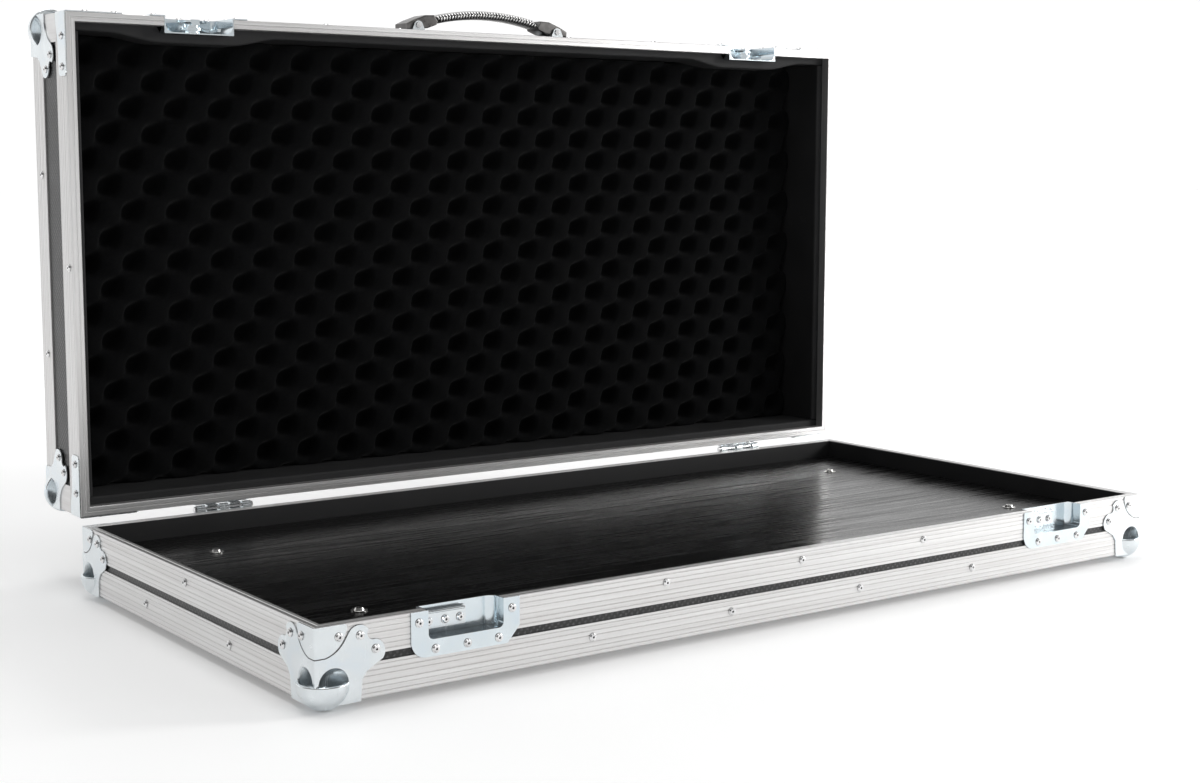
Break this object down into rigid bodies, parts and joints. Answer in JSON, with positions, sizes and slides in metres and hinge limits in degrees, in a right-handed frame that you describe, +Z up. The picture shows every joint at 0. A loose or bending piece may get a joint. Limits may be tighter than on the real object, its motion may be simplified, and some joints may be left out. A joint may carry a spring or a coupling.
{
  "type": "guitar pedal case",
  "caption": "Long shallow road case for guitar pedals: aluminium-edged tray with a raised board, and a deep foam-lined lift-off lid with latches, hinges and a sprung handle.",
  "frame": {"origin": "on the floor, at the centre of the whole open case's outline", "axes": "+X along the case's length, to the right of a player standing in front; +Z up; -Y towards the player"},
  "size_m": [1.0758, 0.6402, 0.6323],
  "materials": {
    "laminate": "black laminate on plywood with a fine embossed pattern",
    "extrusion": "satin, finely ribbed along its length",
    "zinc_plate": "bright bluish zinc plating on pressed steel",
    "rivet": "bright rolled steel",
    "board": "black semi-gloss film with a streaky grain",
    "batten": "plain sawn softwood",
    "screw": "bright zinc",
    "foam": "black open-cell foam, egg-crate shaped",
    "lining": "smooth closed-cell foam strip, dark grey",
    "dark_chrome": "dark nickel, worn bright at its edges",
    "chrome": "bright spring wire",
    "handle_core": "black rubber strip"
  },
  "bodies": {
    "base": {"base_front_wall": "laminate", "base_rear_wall": "laminate", "base_left_wall": "laminate", "base_right_wall": "laminate", "base_bottom_panel": "laminate", "base_rim_front": "extrusion", "base_rim_rear": "extrusion", "base_rim_left": "extrusion", "base_rim_right": "extrusion", "base_corner_angles": "extrusion", "base_ball_corners": "zinc_plate", "base_corner_braces": "zinc_plate", "base_latch_dish_left": "zinc_plate", "base_latch_dish_right": "zinc_plate", "latch_keepers": "zinc_plate", "base_hinge_leaves": "zinc_plate", "base_rivets": "rivet", "base_hinge_rivets": "rivet", "pedal_board": "board", "board_battens": "batten", "board_screws": "screw", "board_washers": "screw"},
    "hinge_pins": {"hinge_pins": "rivet"},
    "lid": {"lid_back_panel": "laminate", "lid_front_wall": "laminate", "lid_rear_wall": "laminate", "lid_left_wall": "laminate", "lid_right_wall": "laminate", "lid_rim_front": "extrusion", "lid_rim_rear": "extrusion", "lid_rim_left": "extrusion", "lid_rim_right": "extrusion", "lid_corner_angles": "extrusion", "lid_edge_angles": "extrusion", "lid_ball_corners": "zinc_plate", "lid_corner_braces": "zinc_plate", "lid_latch_dish_left": "zinc_plate", "lid_latch_dish_right": "zinc_plate", "lid_hinge_leaves": "zinc_plate", "handle_base_plates": "zinc_plate", "lid_rivets": "rivet", "lid_hinge_rivets": "rivet", "handle_rivets": "rivet", "handle_pins": "rivet", "egg_crate_foam": "foam", "lid_lining_front": "lining", "lid_lining_rear": "lining", "lid_lining_left": "lining", "lid_lining_right": "lining"},
    "handle": {"handle_end_caps": "dark_chrome", "handle_core": "handle_core", "handle_spring": "chrome"},
    "latch_rotor_left": {"latch_rotor_left": "zinc_plate", "latch_cam_left": "zinc_plate"},
    "wing_left_a": {"latch_wing_left_a": "zinc_plate"},
    "wing_left_b": {"latch_wing_left_b": "zinc_plate"},
    "latch_rotor_right": {"latch_rotor_right": "zinc_plate", "latch_cam_right": "zinc_plate"},
    "wing_right_a": {"latch_wing_right_a": "zinc_plate"},
    "wing_right_b": {"latch_wing_right_b": "zinc_plate"}
  },
  "joints": [
    {"name": "hinge_turn", "type": "hinge", "parent": "base", "child": "hinge_pins", "pos_m": [0, 0.21385, 0.077], "axis": [1, 0, 0], "range_deg": [0, 90]},
    {"name": "lid_take_off", "type": "slide", "parent": "hinge_pins", "child": "lid", "axis": [0, 1, 0], "range_m": [0, 0.12]},
    {"name": "handle_lift", "type": "slide", "parent": "lid", "child": "handle", "axis": [0, 0, 1], "range_m": [0, 0.0038]},
    {"name": "latch_turn_left", "type": "hinge", "parent": "lid", "child": "latch_rotor_left", "pos_m": [-0.385, 0.23315, 0.603], "axis": [0, 0, 1], "range_deg": [-90, 0]},
    {"name": "wing_fold_left_a", "type": "hinge", "parent": "latch_rotor_left", "child": "wing_left_a", "pos_m": [-0.3876, 0.23315, 0.5998], "axis": [0, 1, 0], "range_deg": [0, 90]},
    {"name": "wing_fold_left_b", "type": "hinge", "parent": "latch_rotor_left", "child": "wing_left_b", "pos_m": [-0.3824, 0.23315, 0.5998], "axis": [0, -1, 0], "range_deg": [0, 90]},
    {"name": "latch_turn_right", "type": "hinge", "parent": "lid", "child": "latch_rotor_right", "pos_m": [0.385, 0.23315, 0.603], "axis": [0, 0, 1], "range_deg": [-90, 0]},
    {"name": "wing_fold_right_a", "type": "hinge", "parent": "latch_rotor_right", "child": "wing_right_a", "pos_m": [0.3824, 0.23315, 0.5998], "axis": [0, 1, 0], "range_deg": [0, 90]},
    {"name": "wing_fold_right_b", "type": "hinge", "parent": "latch_rotor_right", "child": "wing_right_b", "pos_m": [0.3876, 0.23315, 0.5998], "axis": [0, -1, 0], "range_deg": [0, 90]}
  ]
}
